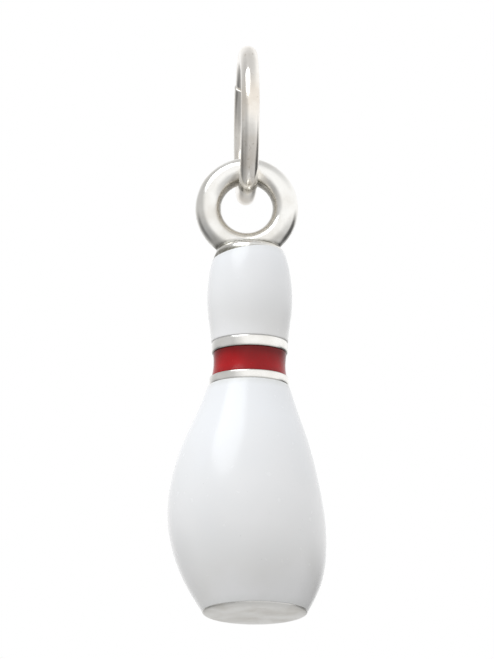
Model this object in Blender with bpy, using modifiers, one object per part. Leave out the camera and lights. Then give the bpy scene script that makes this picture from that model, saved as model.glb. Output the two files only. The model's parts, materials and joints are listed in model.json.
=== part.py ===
"""Bowling pin charm: an enamelled cast pin with its eyelet, hanging on a jump ring.

Metres, +Z up. The origin is the inner top of the jump ring, the point that the charm hangs from.
The pin hangs below the ring, and its eyelet faces along Y.
"""

import math

import bmesh
import bpy
from mathutils import Matrix

MM = 0.001

# Jump ring: a round wire bent into a ring, with a butt seam
WIRE_RADIUS = 0.35 * MM
RING_INNER_RADIUS = 2.3 * MM
RING_TURN = math.radians(3)  # about Z, away from square to the eyelet
SEAM_GAP = 0.06 * MM
SEAM_ANGLE = math.radians(50)  # above level, on the ring's back half
RING_POINTS = 72
WIRE_BEVEL_RESOLUTION = 4

# Eyelet: a flattened torus that faces along Y
EYELET_HOLE_RADIUS = 0.97 * MM
EYELET_OUTER_RADIUS = 1.93 * MM
EYELET_DEPTH = 1.2 * MM
EYELET_PLAY = 0.04 * MM  # between the wire and the top of the hole
EYELET_STEPS = 40
EYELET_SECTION_STEPS = 14

# Turned pin: depths are measured down from its crown, the level at which the head would close
CROWN_BELOW_EYELET = 1.35 * MM
PIN_HEIGHT = 14.2 * MM
FOOT_RADIUS = 1.45 * MM
COLLAR_RISE = 0.06 * MM  # the collar's dome above the crown
OUTLINE = [  # depth and radius in millimetres, where the pin's outer line changes
    (0.28, 1.24),  # collar's edge
    (0.9, 1.46),
    (2.25, 1.59),  # head at its widest
    (3.4, 1.47),
    (4.3, 1.41),  # neck
    (5.3, 1.465),
    (6.6, 1.91),
    (8.1, 2.475),
    (9.6, 2.815),
    (10.9, 2.92),  # belly at its widest
    (12.2, 2.765),
    (13.2, 2.42),
    (14.08, 1.93),  # top of the foot rim
]
LEAN = [  # depth and sideways shift in millimetres: the pin isn't quite straight
    (4.5, 0.11),
    (6.0, 0.05),
    (7.3, -0.01),
    (9.4, -0.08),
    (12.2, 0.14),
    (13.2, 0.27),
    (14.2, 0.30),
]

# Enamel: three fills, each in its own recess, with a bare ridge of metal between neighbours
RECESS_DEPTH = 0.35 * MM
ENAMEL_GAP = 0.03 * MM  # between a fill and the walls of its recess
RIDGE_PROUD = 0.02 * MM
BAND_SUNK = 0.04 * MM  # the red fill's face below the pin's outer line
COLLAR_EDGE = OUTLINE[0][0] * MM
HEAD_BOTTOM = 3.86 * MM
BAND_TOP = 4.21 * MM
BAND_BOTTOM = 5.20 * MM
BELLY_TOP = 5.47 * MM
FOOT_RIM_TOP = OUTLINE[-1][0] * MM

TURNED_STEPS = 48
MERGE_DISTANCE = 0.001 * MM

# Worked out from the above
RING_MEAN_RADIUS = RING_INNER_RADIUS + WIRE_RADIUS
RING_CENTRE_Z = -RING_INNER_RADIUS
HINGE_Z = RING_CENTRE_Z - RING_MEAN_RADIUS  # the wire's centre at the ring's lowest point
# The pin is drawn from the hinge point, so these heights count from there
EYELET_Z = WIRE_RADIUS + EYELET_PLAY - EYELET_HOLE_RADIUS
CROWN_Z = EYELET_Z - CROWN_BELOW_EYELET

# Each recess: its top and bottom depths, how far the fill's face is sunk below the outer line, and
# how many points are drawn down that face and down the hidden floor
RECESSES = {
    "head_enamel": (COLLAR_EDGE, HEAD_BOTTOM, 0.0, 13, 5),
    "neck_band_enamel": (BAND_TOP, BAND_BOTTOM, BAND_SUNK, 4, 2),
    "belly_enamel": (BELLY_TOP, FOOT_RIM_TOP, 0.0, 22, 8),
}


def clear_scene():
    for item in list(bpy.data.objects):
        bpy.data.objects.remove(item, do_unlink=True)


def make_collection(name):
    collection = bpy.data.collections.new(name)
    bpy.context.scene.collection.children.link(collection)
    return collection


def make_material(name, colour, roughness, metallic):
    material = bpy.data.materials.new(name)
    material.use_nodes = True
    shader = material.node_tree.nodes["Principled BSDF"]
    shader.inputs["Base Color"].default_value = (*colour, 1.0)
    shader.inputs["Roughness"].default_value = roughness
    shader.inputs["Metallic"].default_value = metallic
    return material


def smooth_curve(stations, depth):
    """The value at a depth on a smooth cubic curve through stations, held level past its first one."""
    depths = [MM * station[0] for station in stations]
    values = [MM * station[1] for station in stations]
    if depth <= depths[0]:
        return values[0]
    last = len(stations) - 1
    slopes = []
    for i in range(len(stations)):
        before = max(i - 1, 0)
        after = min(i + 1, last)
        slopes.append((values[after] - values[before]) / (depths[after] - depths[before]))
    i = 0
    while i < last - 1 and depth > depths[i + 1]:
        i += 1
    span = depths[i + 1] - depths[i]
    t = (depth - depths[i]) / span
    return (
        (2 * t**3 - 3 * t**2 + 1) * values[i]
        + (t**3 - 2 * t**2 + t) * span * slopes[i]
        + (3 * t**2 - 2 * t**3) * values[i + 1]
        + (t**3 - t**2) * span * slopes[i + 1]
    )


def outline_radius(depth):
    """The pin's radius at a depth below its crown."""
    return smooth_curve(OUTLINE, depth)


def lean(part):
    """Shift a turned solid's points sideways with depth, since the real pin isn't quite straight."""
    for vertex in part.data.vertices:
        vertex.co.x += smooth_curve(LEAN, CROWN_Z - vertex.co.z)


def outline_points(top, bottom, inset, count):
    """Points (radius, height) down the pin's outer line, set in by a distance, between two depths."""
    points = []
    for i in range(count):
        depth = top + (bottom - top) * i / (count - 1)
        points.append((outline_radius(depth) - inset, CROWN_Z - depth))
    return points


def arc_points(start, end, count):
    """A quarter of an ellipse from start, where it is upright, to end, where it is level."""
    points = []
    for i in range(count):
        turn = math.pi / 2 * i / (count - 1)
        radius = end[0] + (start[0] - end[0]) * math.cos(turn)
        height = start[1] + (end[1] - start[1]) * math.sin(turn)
        points.append((radius, height))
    return points


def casting_profile():
    """The casting's outer side from the top of the collar to the middle of the foot."""
    collar_edge = (outline_radius(COLLAR_EDGE), CROWN_Z - COLLAR_EDGE)
    dome = arc_points(collar_edge, (0.0, CROWN_Z + COLLAR_RISE), 6)
    profile = dome[::-1]
    ridge_top = None
    for top, bottom, _, _, floor_count in RECESSES.values():
        if ridge_top is not None:
            profile += outline_points(ridge_top, top, -RIDGE_PROUD, 2)
        profile += outline_points(top, bottom, RECESS_DEPTH, floor_count)
        ridge_top = bottom
    rim_top = (outline_radius(FOOT_RIM_TOP), CROWN_Z - FOOT_RIM_TOP)
    profile += arc_points(rim_top, (FOOT_RADIUS, CROWN_Z - PIN_HEIGHT), 5)
    profile.append((0.0, CROWN_Z - PIN_HEIGHT))
    return profile


def fill_profile(top, bottom, sunk, face_count, floor_count):
    """One enamel fill's section: down its face, then back up the floor of its recess."""
    top += ENAMEL_GAP
    bottom -= ENAMEL_GAP
    face = outline_points(top, bottom, sunk, face_count)
    floor = outline_points(top, bottom, RECESS_DEPTH - ENAMEL_GAP, floor_count)
    return face + floor[::-1]


def turn(name, profile, closed, collection):
    """A turned solid about Z from a profile of (radius, height) points."""
    points = [(radius, 0.0, height) for radius, height in profile]
    edges = [(i, i + 1) for i in range(len(points) - 1)]
    if closed:
        edges.append((len(points) - 1, 0))
    mesh = bpy.data.meshes.new(name)
    mesh.from_pydata(points, edges, [])
    part = bpy.data.objects.new(name, mesh)
    collection.objects.link(part)
    screw = part.modifiers.new("turned", "SCREW")
    screw.axis = "Z"
    screw.steps = TURNED_STEPS
    screw.render_steps = TURNED_STEPS
    screw.use_merge_vertices = True
    screw.merge_threshold = MERGE_DISTANCE
    return part


def freeze(part):
    """Swap an object's modifiers or curve for the mesh that they make, shaded smooth."""
    evaluated = part.evaluated_get(bpy.context.evaluated_depsgraph_get())
    mesh = bpy.data.meshes.new_from_object(evaluated)
    sheet = bmesh.new()
    sheet.from_mesh(mesh)
    bmesh.ops.remove_doubles(sheet, verts=sheet.verts, dist=MERGE_DISTANCE)
    sheet.to_mesh(mesh)
    sheet.free()
    mesh.shade_smooth()
    mesh.set_sharp_from_angle(angle=math.radians(35))
    solid = bpy.data.objects.new(part.name, mesh)
    solid.matrix_world = part.matrix_world
    part.users_collection[0].objects.link(solid)
    name = part.name
    bpy.data.objects.remove(part, do_unlink=True)
    solid.name = name
    mesh.name = name
    return solid


def make_eyelet(collection):
    """The eyelet as a torus standing on edge, thicker along Y than across its section."""
    section_radius = (EYELET_OUTER_RADIUS - EYELET_HOLE_RADIUS) / 2
    bpy.ops.mesh.primitive_torus_add(
        major_radius=EYELET_HOLE_RADIUS + section_radius,
        minor_radius=section_radius,
        major_segments=EYELET_STEPS,
        minor_segments=EYELET_SECTION_STEPS,
    )
    eyelet = bpy.context.object
    eyelet.name = "eyelet_shape"
    stretch = Matrix.Diagonal((1.0, 1.0, EYELET_DEPTH / 2 / section_radius, 1.0))
    stand_up = Matrix.Rotation(math.pi / 2, 4, "X")
    eyelet.data.transform(Matrix.Translation((0.0, 0.0, EYELET_Z)) @ stand_up @ stretch)
    eyelet.users_collection[0].objects.unlink(eyelet)
    collection.objects.link(eyelet)
    eyelet.hide_render = True
    eyelet.display_type = "WIRE"
    return eyelet


def make_casting(parts, cutters):
    casting = freeze(turn("cast_body", casting_profile(), False, parts))
    lean(casting)
    join = casting.modifiers.new("eyelet", "BOOLEAN")
    join.operation = "UNION"
    join.solver = "EXACT"
    join.object = make_eyelet(cutters)
    casting = freeze(casting)
    casting.data.materials.clear()
    casting.data.materials.append(make_material("cast_silver_plate", (0.78, 0.77, 0.74), 0.2, 1.0))
    return casting


def make_fill(name, colour, parts):
    fill = freeze(turn(name, fill_profile(*RECESSES[name]), True, parts))
    lean(fill)
    fill.data.materials.append(make_material(name, colour, 0.18, 0.0))
    return fill


def make_jump_ring(parts):
    """The ring of wire in its own YZ plane, turned about Z, open only at its seam."""
    curve = bpy.data.curves.new("jump_ring", "CURVE")
    curve.dimensions = "3D"
    curve.bevel_depth = WIRE_RADIUS
    curve.bevel_resolution = WIRE_BEVEL_RESOLUTION
    curve.use_fill_caps = True
    seam_turn = SEAM_GAP / RING_MEAN_RADIUS
    spline = curve.splines.new("POLY")
    spline.points.add(RING_POINTS - 1)
    for i, point in enumerate(spline.points):
        angle = SEAM_ANGLE + seam_turn / 2 + (2 * math.pi - seam_turn) * i / (RING_POINTS - 1)
        across = RING_MEAN_RADIUS * math.cos(angle)
        up = RING_MEAN_RADIUS * math.sin(angle)
        point.co = (0.0, across, up, 1.0)
    ring = bpy.data.objects.new("jump_ring", curve)
    parts.objects.link(ring)
    ring.location = (0.0, 0.0, RING_CENTRE_Z)
    ring.rotation_euler = (0.0, 0.0, RING_TURN)
    bpy.context.view_layer.update()
    ring = freeze(ring)
    ring.data.materials.append(make_material("ring_silver_plate", (0.80, 0.77, 0.70), 0.15, 1.0))
    return ring


def make_swing_axis(parts):
    """An empty at the pin's hinge: its Y axis is the wire's direction at the ring's lowest point."""
    axis = bpy.data.objects.new("pin_swing_axis", None)
    axis.empty_display_size = 2 * MM
    axis.location = (0.0, 0.0, HINGE_Z)
    axis.rotation_euler = (0.0, 0.0, RING_TURN)
    parts.objects.link(axis)
    return axis


def main():
    clear_scene()
    parts = make_collection("bowling_pin_charm")
    cutters = make_collection("cutters")
    make_jump_ring(parts)
    pin = [
        make_casting(parts, cutters),
        make_fill("head_enamel", (0.86, 0.87, 0.88), parts),
        make_fill("neck_band_enamel", (0.36, 0.02, 0.025), parts),
        make_fill("belly_enamel", (0.86, 0.87, 0.88), parts),
    ]
    swing_axis = make_swing_axis(parts)
    for part in pin:
        part.parent = swing_axis
        part.rotation_euler = (0.0, 0.0, -RING_TURN)
    bpy.context.view_layer.update()


main()
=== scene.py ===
"""Looks for the bowling pin charm: enamelled cast silver plate, hanging on a jump ring.

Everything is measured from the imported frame, in metres, with +Z up. Each visual piece stands for one
CAD node: the casting, its three enamel fills and the ring of wire.
"""

import json
import math

import bmesh
import bpy
import numpy as np
from mathutils import Euler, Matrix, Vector, noise
from mathutils.bvhtree import BVHTree


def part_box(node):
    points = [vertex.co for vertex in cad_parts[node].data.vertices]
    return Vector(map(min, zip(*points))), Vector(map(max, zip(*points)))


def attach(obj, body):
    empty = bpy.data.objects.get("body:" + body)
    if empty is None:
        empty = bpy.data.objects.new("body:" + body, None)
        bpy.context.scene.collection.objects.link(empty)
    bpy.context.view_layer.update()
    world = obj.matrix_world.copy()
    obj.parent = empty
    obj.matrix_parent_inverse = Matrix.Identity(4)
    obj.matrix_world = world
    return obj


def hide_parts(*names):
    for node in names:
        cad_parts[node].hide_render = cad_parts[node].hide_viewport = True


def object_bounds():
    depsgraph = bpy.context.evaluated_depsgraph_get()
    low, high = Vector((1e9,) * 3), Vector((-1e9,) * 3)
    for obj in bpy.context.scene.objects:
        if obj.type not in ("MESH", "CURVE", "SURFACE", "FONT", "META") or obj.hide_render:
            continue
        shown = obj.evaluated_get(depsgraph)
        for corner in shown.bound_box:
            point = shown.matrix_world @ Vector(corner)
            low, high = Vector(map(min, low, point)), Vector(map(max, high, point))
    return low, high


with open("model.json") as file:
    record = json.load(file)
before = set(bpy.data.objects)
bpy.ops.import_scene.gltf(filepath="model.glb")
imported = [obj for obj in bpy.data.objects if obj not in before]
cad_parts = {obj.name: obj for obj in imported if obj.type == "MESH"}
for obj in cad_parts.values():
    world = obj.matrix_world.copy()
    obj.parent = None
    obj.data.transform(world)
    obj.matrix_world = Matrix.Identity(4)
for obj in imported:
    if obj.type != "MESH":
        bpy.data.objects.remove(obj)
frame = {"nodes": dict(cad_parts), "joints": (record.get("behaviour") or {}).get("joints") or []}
cad_low, cad_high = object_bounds()

MM = 0.001
FAR = 20 * MM  # further out than any part of the charm
HAIR = 0.001 * MM  # just inside a solid's end
PIN_BODY = "pin"
RING_BODY = "ring"
FACE_SAMPLES = 60  # levels at which a fill's face is measured
SHARP_ANGLE = math.radians(50)  # faces that meet at more than this keep a crisp edge

# Turned surfaces
TURN_STEPS = 144
EDGE_ROUND = 0.035 * MM  # where a fill rolls over beside a ridge
EDGE_ROWS = 5
LEAST_BACK_ROWS = 4
FILL_THICKNESS = 0.32 * MM
WAVER = 0.007 * MM  # slow unevenness of hand-laid enamel
WAVER_SIZE = 1.6 * MM
EDGE_BLEND = 0.32 * MM  # how far a fill's edge is greyed, as thin enamel and painted shade
BAND_HOLLOW = 0.03 * MM
COLLAR_SLANT = 0.35 * MM  # the head fill stops this much lower on its left
SLANT_FOCUS = 2  # powers: a higher one keeps the slant nearer the left
SLANT_FADE = 3  # and nearer the top

# Casting
VOXEL = 0.035 * MM
SMOOTHING = 14
DOME_STEPS = 12
COLLAR_RISE = 0.30 * MM
FLANK_DEPTH = 0.50 * MM  # bare metal under the head fill's upper edge
FLANK_INSET = 0.02 * MM
FLANK_ROWS = 6
CORE_START = 0.80 * MM  # below the collar's edge, where the turned core begins
COLLAR_END = 1.20 * MM  # where the collar's own stem ends, inside that core
BEAD_STEPS = 12
BEAD_SUNK = 0.04 * MM  # a ridge's foot below the fills' faces
BEAD_PROUD = 0.02 * MM
BEAD_FLATNESS = 0.4  # the power of the bead's sine: 1 is a half ellipse
EYELET_SQUARENESS = 0.88  # likewise for the eyelet's section
EYELET_STEPS = 120
EYELET_SIDES = 40
RIM_ROWS = 9
HEAD_FLOOR_ROWS = 12
BAND_FLOOR_ROWS = 4
BELLY_FLOOR_ROWS = 30

# Patina with painted shade: how dull and how darkened the plate is, from 0 to 1, and how far that reaches
HOLE_PATINA_SHADE = 0.55
HOLE_REACH = 0.16 * MM
CORNER_REACH = 0.45  # as a share of the eyelet's and the collar's own half widths
FLANK_PATINA_SHADE = 0.9
FLANK_REACH = 0.12 * MM
SEAM_PATINA_SHADE = 0.7
SEAM_REACH = 0.04 * MM

# Ring
SEAM_ANGLE = math.radians(50)
SEAM_GAP = 0.05 * MM
SEAM_OFFSET = 0.02 * MM
EASE_REACH = 0.5  # radians over which the cut ends ease back into line
WIRE_STEPS = 300
WIRE_SIDES = 28
CUT_CHAMFER = 0.05 * MM
CHAMFER_SHARES = (0.0, 0.4, 1.0)

# Colours and finishes
CAST_BRIGHT = (0.94, 0.93, 0.90)
CAST_BLOOM = (0.76, 0.73, 0.67)
# dark tarnish colour, which also paints the shade in the hole, the corners, under the collar and at the
# seams
CAST_PATINA_SHADE = (0.13, 0.12, 0.085)
PATINA_ROUGHNESS = 0.25  # how much rougher the plate is under full patina
GROUND_ROUGHNESS = 0.22  # and on the ground foot
GROUND_MARKS = 6.0  # how many times deeper the foot's scratches are
WIRE_BRIGHT = (0.96, 0.93, 0.88)
WIRE_BLOOM = (0.82, 0.75, 0.66)
WIRE_WORN = (0.45, 0.39, 0.31)
WHITE_ENAMEL = {
    "main": (0.850, 0.850, 0.855),
    "shade": (0.800, 0.797, 0.785),
    # painted light: the tops of the white fills are painted lighter and bluer
    "top_shading": (0.850, 0.865, 0.890),
    # thin enamel greyer at the edges, plus painted shade beside the ridges and at the belly's foot
    "thin_and_shaded": (0.74, 0.75, 0.74),
    "specular": 0.5,
    "coat": 0.4,
}
RED_ENAMEL = {
    "main": (0.50, 0.006, 0.010),
    "shade": (0.34, 0.004, 0.007),
    # painted shade: the top of the red band is painted darker
    "top_shading": (0.20, 0.003, 0.004),
    # thin enamel darker at the edges, plus painted shade at the band's top under the ridge
    "thin_and_shaded": (0.16, 0.004, 0.005),
    "specular": 0.25,
    "coat": 0.05,
}
COAT_ROUGHNESS = 0.12
PINHOLE_SHADE = 0.45  # a pinhole's brightness, beside the enamel's shaded tone
FLOOR_COLOUR = (0.85, 0.85, 0.85, 1.0)
FLOOR_ROUGHNESS = 0.9

# Camera and stage
VIEW_ELEVATION = math.radians(-14)
CAMERA_DISTANCE = 260 * MM
FRAME_FILL = 0.86  # the charm's height as a share of the picture's
SENSOR = 36.0  # millimetres, as Blender counts a camera's sensor
NEAREST_SEEN = 10 * MM
FURTHEST_SEEN = 3000 * MM
FLOOR_DROP = 75 * MM
FLOOR_RADIUS = 600 * MM
FLOOR_SIDES = 96
KEY_LIGHT = {  # lengths in metres from the charm's middle, and power in watts
    "offset": (-0.12, -0.15, 0.24),
    "size": 0.24,
    "power": 0.27,
    "colour": (0.93, 0.97, 1.0),
    "mirrored": True,
}
FILL_LIGHT = {
    "offset": (-0.25, -0.02, -0.06),
    "size": 0.05,
    "power": 0.05,
    "colour": (0.96, 0.98, 1.0),
    "mirrored": False,
}
SOFT_LEVELS = [  # sine of elevation and brightness, as it lights matt surfaces
    (-1.0, 0.60),
    (-0.50, 0.60),
    (-0.20, 0.70),
    (0.0, 0.82),
    (0.20, 0.92),
    (1.0, 1.15),
]
MIRROR_LEVELS = [  # the same, as glossy surfaces mirror it
    (-1.0, 0.55),
    (-0.50, 0.62),
    (-0.25, 0.72),
    (-0.05, 0.90),
    (0.10, 1.05),
    (0.55, 1.00),
    (0.85, 0.70),
    (1.0, 0.62),
]
SOFT_RIGHT = 0.90  # how bright the right wall is on matt surfaces, beside the left one
MIRROR_SIDES = 0.14  # how bright the low walls behind and to the sides are in a mirror
LEFT_SHARE = 0.5  # how far out the dark on the left counts, beside the right
MIRROR_LEFT = 0.58  # how bright the left wall is in a mirror, beside the right one


# ---------------------------------------------------------------- measuring the frame

def surface_of(node):
    """A CAD node's mesh as a tree that rays can be cast at."""
    mesh = frame["nodes"][node].data
    corners = [vertex.co.copy() for vertex in mesh.vertices]
    faces = [tuple(face.vertices) for face in mesh.polygons]
    return BVHTree.FromPolygons(corners, faces)


def crossings(surface, start, direction):
    """Every distance from start at which a ray meets a surface, nearest first."""
    found = []
    travelled = 0.0
    point = Vector(start)
    direction = Vector(direction).normalized()
    while True:
        hit, _, _, distance = surface.ray_cast(point, direction)
        if hit is None:
            return found
        travelled += distance
        found.append(travelled)
        point = hit + direction * HAIR
        travelled += HAIR


def level_section(surface, height):
    """The middle and the half width of a solid along X at a height, through the pin's axis."""
    right = FAR - crossings(surface, (FAR, 0.0, height), (-1, 0, 0))[0]
    left = -FAR + crossings(surface, (-FAR, 0.0, height), (1, 0, 0))[0]
    return (right + left) / 2, (right - left) / 2


class TurnedFace:
    """A fill's outer face as smooth curves of middle and radius against height."""

    def __init__(self, node, radius_degree, middle_degree):
        low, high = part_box(node)
        self.bottom = low.z
        self.top = high.z
        surface = surface_of(node)
        shares = np.linspace(0, 1, FACE_SAMPLES)
        heights = self.bottom + HAIR + shares * (self.top - self.bottom - 2 * HAIR)
        sections = [level_section(surface, height) for height in heights]
        middles = [middle for middle, _ in sections]
        radii = [radius for _, radius in sections]
        self.middle_fit = np.polynomial.Polynomial.fit(heights, middles, middle_degree)
        self.radius_fit = np.polynomial.Polynomial.fit(heights, radii, radius_degree)

    def middle(self, height):
        return float(self.middle_fit(height))

    def radius(self, height):
        return float(self.radius_fit(height))

    def share_down(self, height):
        """0 at the face's top and 1 at its bottom."""
        return (self.top - height) / (self.top - self.bottom)


class Eyelet:
    """The eyelet's centre and sizes, read along the pin's axis and through the top of its section."""

    def __init__(self):
        surface = surface_of("cast_body")
        down = crossings(surface, (0.0, 0.0, FAR), (0, 0, -1))
        top, hole_top, hole_bottom = [FAR - distance for distance in down[:3]]
        self.z = (hole_top + hole_bottom) / 2
        self.hole_radius = (hole_top - hole_bottom) / 2
        self.outer_radius = top - self.z
        section_z = (top + hole_top) / 2
        front = FAR - crossings(surface, (0.0, -FAR, section_z), (0, 1, 0))[0]
        self.depth = 2 * front
        self.mean_radius = (self.outer_radius + self.hole_radius) / 2
        self.half_width = (self.outer_radius - self.hole_radius) / 2


class JumpRing:
    """The ring's centre, radii and turn, from its box and from the joint on its lowest point."""

    def __init__(self):
        low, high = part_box("jump_ring")
        joint = frame["joints"][0]
        axis = Vector(joint["axis"])
        self.z = (low.z + high.z) / 2
        self.mean_radius = self.z - joint["pos_m"][2]
        self.wire_radius = (high.z - low.z) / 2 - self.mean_radius
        self.turn = math.atan2(-axis.x, axis.y)


# ---------------------------------------------------------------- mesh building

def make_object(name, points, faces):
    """A mesh object with its faces pointing outward."""
    mesh = bpy.data.meshes.new(name)
    mesh.from_pydata([tuple(point) for point in points], [], faces)
    sheet = bmesh.new()
    sheet.from_mesh(mesh)
    bmesh.ops.recalc_face_normals(sheet, faces=sheet.faces)
    sheet.to_mesh(mesh)
    sheet.free()
    piece = bpy.data.objects.new(name, mesh)
    bpy.context.scene.collection.objects.link(piece)
    return piece


def place_piece(piece, body, node, material):
    """Shade a piece smooth and let it ride on a body in place of a CAD node."""
    piece.data.shade_smooth()
    piece.data.materials.clear()
    piece.data.materials.append(material)
    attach(piece, body)
    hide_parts(node)


def paint(piece, name, values):
    """Keep one number for each point of a piece, for its material to read."""
    layer = piece.data.attributes.new(name, "FLOAT", "POINT")
    layer.data.foreach_set("value", values)


def swept_faces(row_count, side_count, closed):
    """Faces between rows of points, each row a closed loop; closed also joins the last row to the first."""
    faces = []
    last = row_count if closed else row_count - 1
    for row in range(last):
        ahead = (row + 1) % row_count
        for side in range(side_count):
            beside = (side + 1) % side_count
            faces.append((
                row * side_count + side,
                ahead * side_count + side,
                ahead * side_count + beside,
                row * side_count + beside,
            ))
    return faces


def end_caps(row_count, side_count):
    """One flat face on the first row of a sweep and one on its last."""
    start = (row_count - 1) * side_count
    return [tuple(range(side_count)), tuple(range(start, start + side_count))]


def turned_solid(name, rows):
    """A solid turned about the pin's axis from rows of (middle, radius, height), capped at both ends."""
    points = []
    for middle, radius, height in rows:
        for step in range(TURN_STEPS):
            angle = 2 * math.pi * step / TURN_STEPS
            points.append((middle + radius * math.cos(angle), radius * math.sin(angle), height))
    faces = swept_faces(len(rows), TURN_STEPS, False) + end_caps(len(rows), TURN_STEPS)
    return make_object(name, points, faces)


def applied(piece):
    """Swap a piece's modifiers for the mesh that they make."""
    depsgraph = bpy.context.evaluated_depsgraph_get()
    mesh = bpy.data.meshes.new_from_object(piece.evaluated_get(depsgraph))
    piece.modifiers.clear()
    piece.data = mesh


def join_solids(piece, other):
    """Union another solid into a piece, and remove that other."""
    join = piece.modifiers.new("join", "BOOLEAN")
    join.operation = "UNION"
    join.object = other
    applied(piece)
    bpy.data.objects.remove(other)


def fade(distance, reach):
    """1 at no distance, falling smoothly to 0 at reach."""
    share = min(abs(distance) / reach, 1.0)
    return (1 - share) ** 2 * (1 + 2 * share)


# ---------------------------------------------------------------- enamel

def fill_section(face, row_count):
    """Heights and insets over a fill's rounded upper edge, down its face, and up its back."""
    section = []
    for i in range(EDGE_ROWS):
        turn = math.pi / 2 * i / EDGE_ROWS
        height = face.top - EDGE_ROUND * (1 - math.cos(turn))
        section.append((height, EDGE_ROUND * (1 - math.sin(turn))))
    start = face.top - EDGE_ROUND
    end = face.bottom + EDGE_ROUND
    for height in np.linspace(start, end, row_count):
        section.append((height, 0.0))
    for i in range(1, EDGE_ROWS + 1):
        turn = math.pi / 2 * i / EDGE_ROWS
        section.append((end - EDGE_ROUND * math.sin(turn), EDGE_ROUND * (1 - math.cos(turn))))
    for height in np.linspace(face.bottom, face.top, max(row_count // 4, LEAST_BACK_ROWS)):
        section.append((height, FILL_THICKNESS))
    return section


def collar_drop(face, angle, height):
    """How far a point of the head fill sits lower than in the CAD: most at its upper edge's left."""
    leftness = (1 - math.cos(angle)) / 2
    upness = max(1 - face.share_down(height), 0.0)
    return COLLAR_SLANT * leftness**SLANT_FOCUS * upness**SLANT_FADE


def dish(share):
    """0 at both ends of a face and 1 in its middle."""
    return 4 * share * (1 - share)


def make_fill(node, material, face, row_count, thin_shaded_edges, hollow=0.0, slanted=False):
    """One enamel fill, with its edges (top, bottom) marked for a greyer thinly laid tone with painted
    shade, and its upper part marked for painted top shading.
    """
    thin_shaded_top, thin_shaded_bottom = thin_shaded_edges
    section = fill_section(face, row_count)
    points = []
    edges = []
    painted_top_shadings = []
    for height, inset in section:
        at_top = thin_shaded_top * fade(face.top - height, EDGE_BLEND)
        at_bottom = thin_shaded_bottom * fade(height - face.bottom, EDGE_BLEND)
        # edge marks where a fill is greyed: thin enamel plus painted shade
        edge = max(at_top, at_bottom)
        for step in range(TURN_STEPS):
            angle = 2 * math.pi * step / TURN_STEPS
            level = height - collar_drop(face, angle, height) if slanted else height
            share = face.share_down(level)
            radius = face.radius(level) - inset - hollow * dish(share)
            outward = Vector((math.cos(angle), math.sin(angle), 0.0))
            point = Vector((face.middle(level), 0.0, level)) + outward * radius
            points.append(point + outward * WAVER * noise.noise(point / WAVER_SIZE))
            edges.append(edge)
            # 1 at the fill's top, where the painted top shading is strongest
            painted_top_shadings.append(1 - share)
    piece = make_object(node + "_glaze", points, swept_faces(len(section), TURN_STEPS, True))
    paint(piece, "edge", edges)
    paint(piece, "painted_top_shading", painted_top_shadings)
    place_piece(piece, PIN_BODY, node, material)


# ---------------------------------------------------------------- casting

def eyelet_shape(eyelet):
    """A torus on edge whose section is slightly squarer than an ellipse."""
    points = []
    for step in range(EYELET_STEPS):
        around = 2 * math.pi * step / EYELET_STEPS
        for side in range(EYELET_SIDES):
            turn = 2 * math.pi * side / EYELET_SIDES
            c = math.cos(turn)
            s = math.sin(turn)
            out = eyelet.mean_radius + eyelet.half_width * math.copysign(abs(c) ** EYELET_SQUARENESS, c)
            across = eyelet.depth / 2 * math.copysign(abs(s) ** EYELET_SQUARENESS, s)
            points.append((out * math.cos(around), across, eyelet.z + out * math.sin(around)))
    return make_object("eyelet", points, swept_faces(EYELET_STEPS, EYELET_SIDES, True))


def collar_rows(head):
    """The collar's dome and its flank, then the core inside the head fill."""
    rows = []
    middle = head.middle(head.top)
    edge_radius = head.radius(head.top)
    for i in range(1, DOME_STEPS + 1):
        turn = math.pi / 2 * i / DOME_STEPS
        rows.append((middle, edge_radius * math.sin(turn), head.top + COLLAR_RISE * math.cos(turn)))
    for height in np.linspace(head.top, head.top - FLANK_DEPTH, FLANK_ROWS):
        rows.append((middle, head.radius(height) - FLANK_INSET, height))
    core_radius = edge_radius - FILL_THICKNESS
    rows.append((middle, core_radius, head.top - FLANK_DEPTH - VOXEL))
    rows.append((middle, core_radius, head.top - COLLAR_END))
    return rows


def bead_rows(upper, lower):
    """A ridge between two fills, as a flattened bead a little proud of both."""
    middle_z = (upper.bottom + lower.top) / 2
    half_width = (upper.bottom - lower.top) / 2
    base = (upper.radius(upper.bottom) + lower.radius(lower.top)) / 2 - BEAD_SUNK
    rows = []
    for i in range(BEAD_STEPS + 1):
        turn = math.pi * i / BEAD_STEPS
        radius = base + (BEAD_SUNK + BEAD_PROUD) * max(math.sin(turn), 0.0) ** BEAD_FLATNESS
        rows.append((upper.middle(upper.bottom), radius, middle_z + half_width * math.cos(turn)))
    return rows


def floor_rows(face, start, end, count):
    """The floor of a recess, just inside its fill's back."""
    rows = []
    for height in np.linspace(start, end, count):
        rows.append((face.middle(height), face.radius(height) - FILL_THICKNESS, height))
    return rows


def foot_rows(belly, foot_z):
    """The bare rim under the belly fill, rounding over to the flat foot."""
    middle, foot_radius = level_section(surface_of("cast_body"), foot_z + HAIR)
    rim_radius = belly.radius(belly.bottom)
    rows = []
    for i in range(RIM_ROWS):
        turn = math.pi / 2 * i / (RIM_ROWS - 1)
        radius = foot_radius + (rim_radius - foot_radius) * math.cos(turn)
        rows.append((middle, radius, belly.bottom - (belly.bottom - foot_z) * math.sin(turn)))
    return rows


def core_rows(head, band, belly, foot_z):
    """The casting below its collar: recess floors, two ridges and the bare foot."""
    rows = floor_rows(head, head.top - CORE_START, head.bottom, HEAD_FLOOR_ROWS)
    rows += bead_rows(head, band)
    rows += floor_rows(band, band.top, band.bottom, BAND_FLOOR_ROWS)
    rows += bead_rows(band, belly)
    rows += floor_rows(belly, belly.top, belly.bottom, BELLY_FLOOR_ROWS)
    return rows + foot_rows(belly, foot_z)


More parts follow.
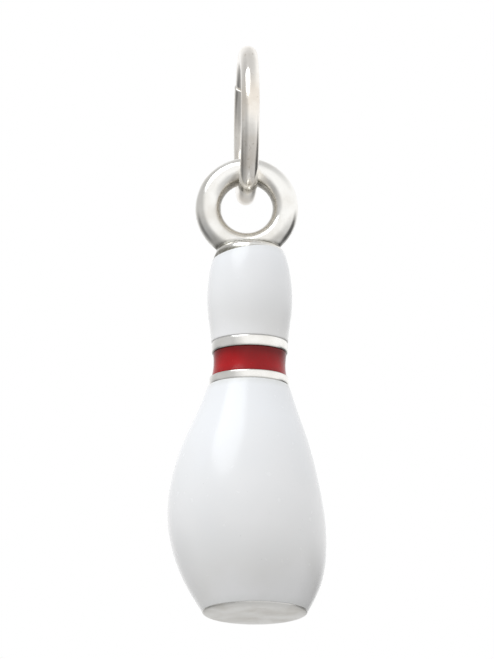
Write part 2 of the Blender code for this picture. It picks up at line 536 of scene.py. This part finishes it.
def patina_and_shade_at(point, eyelet, head, seams):
    """How dull and dark the plate is at a point, as tarnish and painted shade: in the hole, in corners,
    under the collar and at seams.
    """
    from_axis = math.hypot(point.x, point.z - eyelet.z)
    in_hole = HOLE_PATINA_SHADE * fade(max(from_axis - eyelet.hole_radius, 0.0), HOLE_REACH)
    across = 2 * abs(point.y) / eyelet.depth
    off_ring = abs(math.hypot((from_axis - eyelet.mean_radius) / eyelet.half_width, across) - 1)
    collar_height = (point.z - head.top) / COLLAR_RISE
    collar_width = math.hypot(point.x - head.middle(head.top), point.y) / head.radius(head.top)
    off_dome = abs(math.hypot(collar_width, collar_height) - 1)
    in_corner = fade(off_ring + off_dome, CORNER_REACH)
    below_collar = 0.0
    if head.top - FLANK_DEPTH < point.z < head.top:
        below_collar = FLANK_PATINA_SHADE * min((head.top - point.z) / FLANK_REACH, 1.0)
    beside_fill = max(SEAM_PATINA_SHADE * fade(point.z - seam, SEAM_REACH) for seam in seams)
    return max(in_hole, in_corner, below_collar, beside_fill)


def satin_at(height, rim_height):
    """1 on the ground foot and its tumbled rim, and 0 above them."""
    return 1.0 if height < rim_height else 0.0


def make_casting(eyelet, head, band, belly, material):
    """The collar and eyelet as one softened lump, joined to the turned core."""
    casting = turned_solid("collar", collar_rows(head))
    join_solids(casting, eyelet_shape(eyelet))
    remesh = casting.modifiers.new("even", "REMESH")
    remesh.mode = "VOXEL"
    remesh.voxel_size = VOXEL
    soften = casting.modifiers.new("fillet", "SMOOTH")
    soften.iterations = SMOOTHING
    applied(casting)
    low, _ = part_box("cast_body")
    core = turned_solid("cast_body_plate", core_rows(head, band, belly, low.z))
    join_solids(core, casting)
    core.data.name = core.name
    seams = [band.top, band.bottom, belly.top]
    vertices = core.data.vertices
    # tarnish plus painted shade: darkest in the hole, in the corners, under the collar and beside the fills
    paint(core, "patina_and_shade", [patina_and_shade_at(vertex.co, eyelet, head, seams) for vertex in vertices])
    rim_height = belly.bottom - low.z
    paint(core, "ground", [satin_at(vertex.co.z - low.z, rim_height) for vertex in vertices])
    place_piece(core, PIN_BODY, "cast_body", material)
    core.data.set_sharp_from_angle(angle=SHARP_ANGLE)


# ---------------------------------------------------------------- jump ring

def ring_travel(ring):
    """Angles from one cut end of the wire to the other, closer together at the ends."""
    sweep = 2 * math.pi - SEAM_GAP / ring.mean_radius
    chamfer = CUT_CHAMFER / ring.mean_radius
    near = [chamfer * share for share in CHAMFER_SHARES]
    middle = list(np.linspace(chamfer * 2, sweep - chamfer * 2, WIRE_STEPS))
    return near + middle + [sweep - travel for travel in near[::-1]]


def make_ring(ring, material):
    """The wire swept round its circle from one cut end to the other, with chamfered ends."""
    facing = Euler((0.0, 0.0, ring.turn)).to_matrix()
    angles = ring_travel(ring)
    sweep = angles[-1]
    start = SEAM_ANGLE + (2 * math.pi - sweep) / 2
    points = []
    lay = []
    for travel in angles:
        from_end = min(travel, sweep - travel)
        cut = max(1 - from_end * ring.mean_radius / CUT_CHAMFER, 0.0)
        radius = ring.wire_radius - CUT_CHAMFER * cut**2
        offset = math.copysign(SEAM_OFFSET, sweep / 2 - travel) * math.exp(-from_end / EASE_REACH)
        outward = Vector((0.0, math.cos(start + travel), math.sin(start + travel)))
        centre = outward * ring.mean_radius + Vector((offset, 0.0, 0.0))
        for side in range(WIRE_SIDES):
            around = 2 * math.pi * side / WIRE_SIDES
            reach = outward * math.cos(around) + Vector((math.sin(around), 0.0, 0.0))
            points.append(facing @ (centre + reach * radius) + Vector((0.0, 0.0, ring.z)))
            lay += [math.cos(around), math.sin(around), travel]
    faces = swept_faces(len(angles), WIRE_SIDES, False) + end_caps(len(angles), WIRE_SIDES)
    piece = make_object("jump_ring_wire", points, faces)
    layer = piece.data.attributes.new("lay", "FLOAT_VECTOR", "POINT")
    layer.data.foreach_set("vector", lay)
    place_piece(piece, RING_BODY, "jump_ring", material)
    piece.data.set_sharp_from_angle(angle=SHARP_ANGLE)


# ---------------------------------------------------------------- materials

def new_material(name):
    """A material with its node tree and its main shader."""
    material = bpy.data.materials.new(name)
    material.use_nodes = True
    tree = material.node_tree
    return material, tree, tree.nodes["Principled BSDF"]


def in_millimetres(tree):
    """The object's own coordinates, counted in millimetres."""
    coordinates = tree.nodes.new("ShaderNodeTexCoord")
    return stretched(tree, coordinates.outputs["Object"], (1 / MM, 1 / MM, 1 / MM))


def stretched(tree, vector, scale):
    """A position scaled along each axis."""
    mapping = tree.nodes.new("ShaderNodeMapping")
    mapping.inputs["Scale"].default_value = scale
    tree.links.new(vector, mapping.inputs["Vector"])
    return mapping.outputs["Vector"]


def painted(tree, name, output="Fac"):
    """What was kept on the piece's points under a name."""
    node = tree.nodes.new("ShaderNodeAttribute")
    node.attribute_name = name
    return node.outputs[output]


def noise_field(tree, vector, per_mm, detail):
    """Soft noise about 0.5, with so many features to the millimetre."""
    texture = tree.nodes.new("ShaderNodeTexNoise")
    texture.inputs["Scale"].default_value = per_mm
    texture.inputs["Detail"].default_value = detail
    tree.links.new(vector, texture.inputs["Vector"])
    return texture.outputs["Fac"]


def remap(tree, value, over, onto):
    """A value that moves across one range, turned into a value that moves across another."""
    node = tree.nodes.new("ShaderNodeMapRange")
    node.inputs["From Min"].default_value, node.inputs["From Max"].default_value = over
    node.inputs["To Min"].default_value, node.inputs["To Max"].default_value = onto
    tree.links.new(value, node.inputs["Value"])
    return node.outputs["Result"]


def blend_colours(tree, share, first, second):
    """A colour between two others, each a tuple or the output of a node."""
    node = tree.nodes.new("ShaderNodeMix")
    node.data_type = "RGBA"
    for name, colour in (("A", first), ("B", second)):
        socket = [s for s in node.inputs if s.name == name and s.type == "RGBA"][0]
        if isinstance(colour, tuple):
            socket.default_value = (*colour, 1.0)
        else:
            tree.links.new(colour, socket)
    factor = [s for s in node.inputs if s.name == "Factor" and s.type == "VALUE"][0]
    tree.links.new(share, factor)
    return [s for s in node.outputs if s.type == "RGBA"][0]


def combine(tree, operation, first, second):
    """Sum, product or the like of two values, each a number or the output of a node."""
    node = tree.nodes.new("ShaderNodeMath")
    node.operation = operation
    for socket, value in zip(node.inputs, (first, second)):
        if isinstance(value, (int, float)):
            socket.default_value = value
        else:
            tree.links.new(value, socket)
    return node.outputs["Value"]


def bump(tree, height, distance, strength, under=None):
    """A surface normal tilted by a height, on top of another bump if one is given."""
    node = tree.nodes.new("ShaderNodeBump")
    node.inputs["Distance"].default_value = distance
    node.inputs["Strength"].default_value = strength
    tree.links.new(height, node.inputs["Height"])
    if under is not None:
        tree.links.new(under, node.inputs["Normal"])
    return node.outputs["Normal"]


def cast_plate():
    """Plated casting: uneven polish, scratches, a parting line, tarnish darkened further with painted shade
    in its hollows and seams, and a ground foot.
    """
    material, tree, shader = new_material("cast_silver_plate")
    place = in_millimetres(tree)
    patches = noise_field(tree, place, per_mm=0.9, detail=4.0)
    grain = noise_field(tree, place, per_mm=9.0, detail=5.0)
    drawn_out = stretched(tree, place, (0.4, 6.0, 0.5))
    scratches = noise_field(tree, drawn_out, per_mm=5.0, detail=3.0)
    bloom = remap(tree, patches, over=(0.42, 0.72), onto=(0.0, 0.7))
    colour = blend_colours(tree, bloom, CAST_BRIGHT, CAST_BLOOM)
    broken = remap(tree, grain, over=(0.25, 0.60), onto=(0.55, 1.0))
    # the painted mask darkens the plate with tarnish and with painted shade where shade falls
    patina_and_shade = combine(tree, "MULTIPLY", painted(tree, "patina_and_shade"), broken)
    colour = blend_colours(tree, patina_and_shade, colour, CAST_PATINA_SHADE)
    tree.links.new(colour, shader.inputs["Base Color"])
    wear = combine(tree, "ADD", patches, grain)
    polish = remap(tree, wear, over=(0.7, 1.3), onto=(0.10, 0.26))
    dull = combine(tree, "MULTIPLY", patina_and_shade, PATINA_ROUGHNESS)
    ground = painted(tree, "ground")
    satin = combine(tree, "MULTIPLY", ground, GROUND_ROUGHNESS)
    unpolished = combine(tree, "ADD", dull, satin)
    tree.links.new(combine(tree, "ADD", polish, unpolished), shader.inputs["Roughness"])
    deeper = remap(tree, ground, over=(0.0, 1.0), onto=(1.0, GROUND_MARKS))
    marks = combine(tree, "MULTIPLY", scratches, deeper)
    normal = bump(tree, grain, distance=0.004 * MM, strength=0.35)
    normal = bump(tree, marks, distance=0.003 * MM, strength=0.25, under=normal)
    axes = tree.nodes.new("ShaderNodeSeparateXYZ")
    tree.links.new(place, axes.inputs["Vector"])
    off_line = combine(tree, "ABSOLUTE", axes.outputs["Y"], 0.0)
    parting = remap(tree, off_line, over=(0.0, 0.05), onto=(1.0, 0.0))
    normal = bump(tree, parting, distance=0.008 * MM, strength=0.5, under=normal)
    tree.links.new(normal, shader.inputs["Normal"])
    shader.inputs["Metallic"].default_value = 1.0
    return material


def wire_plate():
    """Plated drawn wire: fine lines along the wire and a warm bloom in patches."""
    material, tree, shader = new_material("ring_silver_plate")
    place = in_millimetres(tree)
    patches = noise_field(tree, place, per_mm=0.8, detail=3.0)
    lay = painted(tree, "lay", "Vector")
    drawn = noise_field(tree, stretched(tree, lay, (7.0, 7.0, 1.5)), per_mm=1.0, detail=4.0)
    nicks = noise_field(tree, place, per_mm=6.0, detail=2.0)
    bloom = remap(tree, patches, over=(0.40, 0.68), onto=(0.0, 0.8))
    colour = blend_colours(tree, bloom, WIRE_BRIGHT, WIRE_BLOOM)
    worn = remap(tree, nicks, over=(0.66, 0.78), onto=(0.0, 0.6))
    colour = blend_colours(tree, worn, colour, WIRE_WORN)
    tree.links.new(colour, shader.inputs["Base Color"])
    wear = combine(tree, "ADD", patches, drawn)
    polish = remap(tree, wear, over=(0.7, 1.3), onto=(0.10, 0.24))
    tree.links.new(polish, shader.inputs["Roughness"])
    normal = bump(tree, drawn, distance=0.006 * MM, strength=0.4)
    normal = bump(tree, nicks, distance=0.010 * MM, strength=0.3, under=normal)
    tree.links.new(normal, shader.inputs["Normal"])
    shader.inputs["Metallic"].default_value = 1.0
    return material


def enamel(name, main, shade, top_shading, thin_and_shaded, specular, coat):
    """Glossy enamel: drifts of tone, painted top shading (lighter and bluer on white, darker on red),
    orange peel, pinholes, and thinly laid edges greyed further with painted shade.
    """
    material, tree, shader = new_material(name)
    place = in_millimetres(tree)
    drift = noise_field(tree, place, per_mm=0.45, detail=3.0)
    peel = noise_field(tree, place, per_mm=3.2, detail=2.0)
    specks = noise_field(tree, place, per_mm=14.0, detail=1.0)
    tone = remap(tree, drift, over=(0.35, 0.70), onto=(0.0, 1.0))
    colour = blend_colours(tree, tone, main, shade)
    top_shading_mask = combine(tree, "ADD", painted(tree, "painted_top_shading"), drift)
    # how far the painted top shading shows
    depth = remap(tree, top_shading_mask, over=(0.7, 1.4), onto=(0.0, 1.0))
    colour = blend_colours(tree, depth, colour, top_shading)
    ragged = remap(tree, peel, over=(0.3, 0.7), onto=(0.45, 1.0))
    # greys the edges: thin enamel plus painted shade
    edge = combine(tree, "MULTIPLY", painted(tree, "edge"), ragged)
    colour = blend_colours(tree, edge, colour, thin_and_shaded)
    pinholes = remap(tree, specks, over=(0.80, 0.84), onto=(0.0, 0.35))
    darker = tuple(PINHOLE_SHADE * channel for channel in shade)
    colour = blend_colours(tree, pinholes, colour, darker)
    tree.links.new(colour, shader.inputs["Base Color"])
    polish = remap(tree, peel, over=(0.3, 0.75), onto=(0.20, 0.28))
    tree.links.new(polish, shader.inputs["Roughness"])
    tree.links.new(bump(tree, peel, distance=0.006 * MM, strength=0.20), shader.inputs["Normal"])
    shader.inputs["Specular IOR Level"].default_value = specular
    shader.inputs["Coat Weight"].default_value = coat
    shader.inputs["Coat Roughness"].default_value = COAT_ROUGHNESS
    return material


# ---------------------------------------------------------------- stage

def make_camera(low, high):
    """A long lens far off, looking up at the charm's middle."""
    back = Vector((0.0, -math.cos(VIEW_ELEVATION), math.sin(VIEW_ELEVATION)))
    data = bpy.data.cameras.new("camera")
    camera = bpy.data.objects.new("camera", data)
    bpy.context.scene.collection.objects.link(camera)
    camera.location = (low + high) / 2 + back * CAMERA_DISTANCE
    camera.rotation_euler = back.to_track_quat("Z", "Y").to_euler()
    data.sensor_width = SENSOR
    picture_height = (high.z - low.z) * math.cos(VIEW_ELEVATION) / FRAME_FILL
    data.lens = SENSOR * CAMERA_DISTANCE / picture_height
    data.clip_start = NEAREST_SEEN
    data.clip_end = FURTHEST_SEEN
    bpy.context.scene.camera = camera


def area_light(name, target, offset, size, power, colour, mirrored):
    """A disc of light facing the target, which glossy surfaces may or may not mirror."""
    data = bpy.data.lights.new(name, "AREA")
    data.shape = "DISK"
    data.size = size
    data.energy = power
    data.color = colour
    light = bpy.data.objects.new(name, data)
    bpy.context.scene.collection.objects.link(light)
    light.location = target + Vector(offset)
    light.rotation_euler = Vector(offset).to_track_quat("Z", "Y").to_euler()
    light.visible_glossy = mirrored


def make_floor(low):
    """A wide pale disc well below the charm, which hangs clear of it."""
    sheet = bmesh.new()
    bmesh.ops.create_circle(sheet, cap_ends=True, segments=FLOOR_SIDES, radius=FLOOR_RADIUS)
    mesh = bpy.data.meshes.new("floor")
    sheet.to_mesh(mesh)
    sheet.free()
    floor = bpy.data.objects.new("floor", mesh)
    bpy.context.scene.collection.objects.link(floor)
    floor.location.z = low.z - FLOOR_DROP
    material, _, shader = new_material("pale_floor")
    shader.inputs["Base Color"].default_value = FLOOR_COLOUR
    shader.inputs["Roughness"].default_value = FLOOR_ROUGHNESS
    mesh.materials.append(material)
    floor.visible_glossy = False
    floor.visible_diffuse = False


def level_ramp(tree, sine, levels):
    """Brightness against the sine of elevation."""
    ramp = tree.nodes.new("ShaderNodeValToRGB")
    tree.links.new(remap(tree, sine, over=(-1.0, 1.0), onto=(0.0, 1.0)), ramp.inputs["Fac"])
    stops = ramp.color_ramp.elements
    stops[0].color = (*[levels[0][1]] * 3, 1.0)
    stops[1].color = (*[levels[-1][1]] * 3, 1.0)
    for height, level in levels[1:-1]:
        stop = stops.new((height + 1) / 2)
        stop.color = (level, level, level, 1.0)
    return ramp.outputs["Color"]


def backdrop(tree, colour, strength):
    """A background of a colour and strength, each a value or the output of a node."""
    node = tree.nodes.new("ShaderNodeBackground")
    for name, value in (("Color", colour), ("Strength", strength)):
        if isinstance(value, (int, float, tuple)):
            node.inputs[name].default_value = value
        else:
            tree.links.new(value, node.inputs[name])
    return node.outputs["Background"]


def choose(tree, share, first, second):
    """One background or another, as the kind of ray says."""
    node = tree.nodes.new("ShaderNodeMixShader")
    tree.links.new(share, node.inputs[0])
    tree.links.new(first, node.inputs[1])
    tree.links.new(second, node.inputs[2])
    return node.outputs["Shader"]


def dark_sides(tree, axes):
    """How far a mirror loses the low walls at the sides and behind, from 0 to 1 - MIRROR_SIDES."""
    leftward = combine(tree, "MULTIPLY", axes.outputs["X"], -LEFT_SHARE)
    sideways = combine(tree, "MAXIMUM", axes.outputs["X"], leftward)
    to_side = remap(tree, sideways, over=(0.15, 0.60), onto=(0.0, 1.0 - MIRROR_SIDES))
    behind = remap(tree, axes.outputs["Y"], over=(0.0, 0.35), onto=(0.0, 1.0))
    below = remap(tree, axes.outputs["Z"], over=(-0.05, 0.20), onto=(1.0, 0.0))
    above_table = remap(tree, axes.outputs["Z"], over=(-0.60, -0.44), onto=(0.0, 1.0))
    band = combine(tree, "MULTIPLY", below, above_table)
    return combine(tree, "MULTIPLY", combine(tree, "MULTIPLY", to_side, behind), band)


def make_world():
    """White to the camera; a soft studio that lights the charm, with low dark sides in its mirrors."""
    world = bpy.data.worlds.new("studio")
    bpy.context.scene.world = world
    world.use_nodes = True
    tree = world.node_tree
    tree.nodes.clear()
    coordinates = tree.nodes.new("ShaderNodeTexCoord")
    axes = tree.nodes.new("ShaderNodeSeparateXYZ")
    tree.links.new(coordinates.outputs["Generated"], axes.inputs["Vector"])
    sine = axes.outputs["Z"]
    soft_strength = remap(tree, axes.outputs["X"], over=(-0.6, 0.9), onto=(1.0, SOFT_RIGHT))
    soft = backdrop(tree, level_ramp(tree, sine, SOFT_LEVELS), soft_strength)
    left_wall = remap(tree, axes.outputs["X"], over=(-0.75, -0.25), onto=(MIRROR_LEFT, 1.0))
    low_walls = combine(tree, "SUBTRACT", 1.0, dark_sides(tree, axes))
    mirror_strength = combine(tree, "MULTIPLY", left_wall, low_walls)
    mirror = backdrop(tree, level_ramp(tree, sine, MIRROR_LEVELS), mirror_strength)
    plain = backdrop(tree, (1.0, 1.0, 1.0, 1.0), 1.0)
    ray = tree.nodes.new("ShaderNodeLightPath")
    lit = choose(tree, ray.outputs["Is Glossy Ray"], soft, mirror)
    seen = choose(tree, ray.outputs["Is Camera Ray"], lit, plain)
    output = tree.nodes.new("ShaderNodeOutputWorld")
    tree.links.new(seen, output.inputs["Surface"])


# ---------------------------------------------------------------- the charm

bpy.context.scene.view_settings.view_transform = "Standard"

white_enamel = enamel("white_enamel", **WHITE_ENAMEL)
red_enamel = enamel("red_enamel", **RED_ENAMEL)

head_face = TurnedFace("head_enamel", radius_degree=6, middle_degree=2)
band_face = TurnedFace("neck_band_enamel", radius_degree=3, middle_degree=1)
belly_face = TurnedFace("belly_enamel", radius_degree=9, middle_degree=6)
make_fill("head_enamel", white_enamel, head_face, row_count=60,
          thin_shaded_edges=(0.5, 0.0), slanted=True)
make_fill("neck_band_enamel", red_enamel, band_face, row_count=24,
          thin_shaded_edges=(1.0, 0.5), hollow=BAND_HOLLOW)
make_fill("belly_enamel", white_enamel, belly_face, row_count=110,
          thin_shaded_edges=(1.0, 0.7))
make_casting(Eyelet(), head_face, band_face, belly_face, cast_plate())
make_ring(JumpRing(), wire_plate())

make_camera(cad_low, cad_high)
make_world()
make_floor(cad_low)
centre = (cad_low + cad_high) / 2
area_light("key", centre, **KEY_LIGHT)
area_light("fill", centre, **FILL_LIGHT)
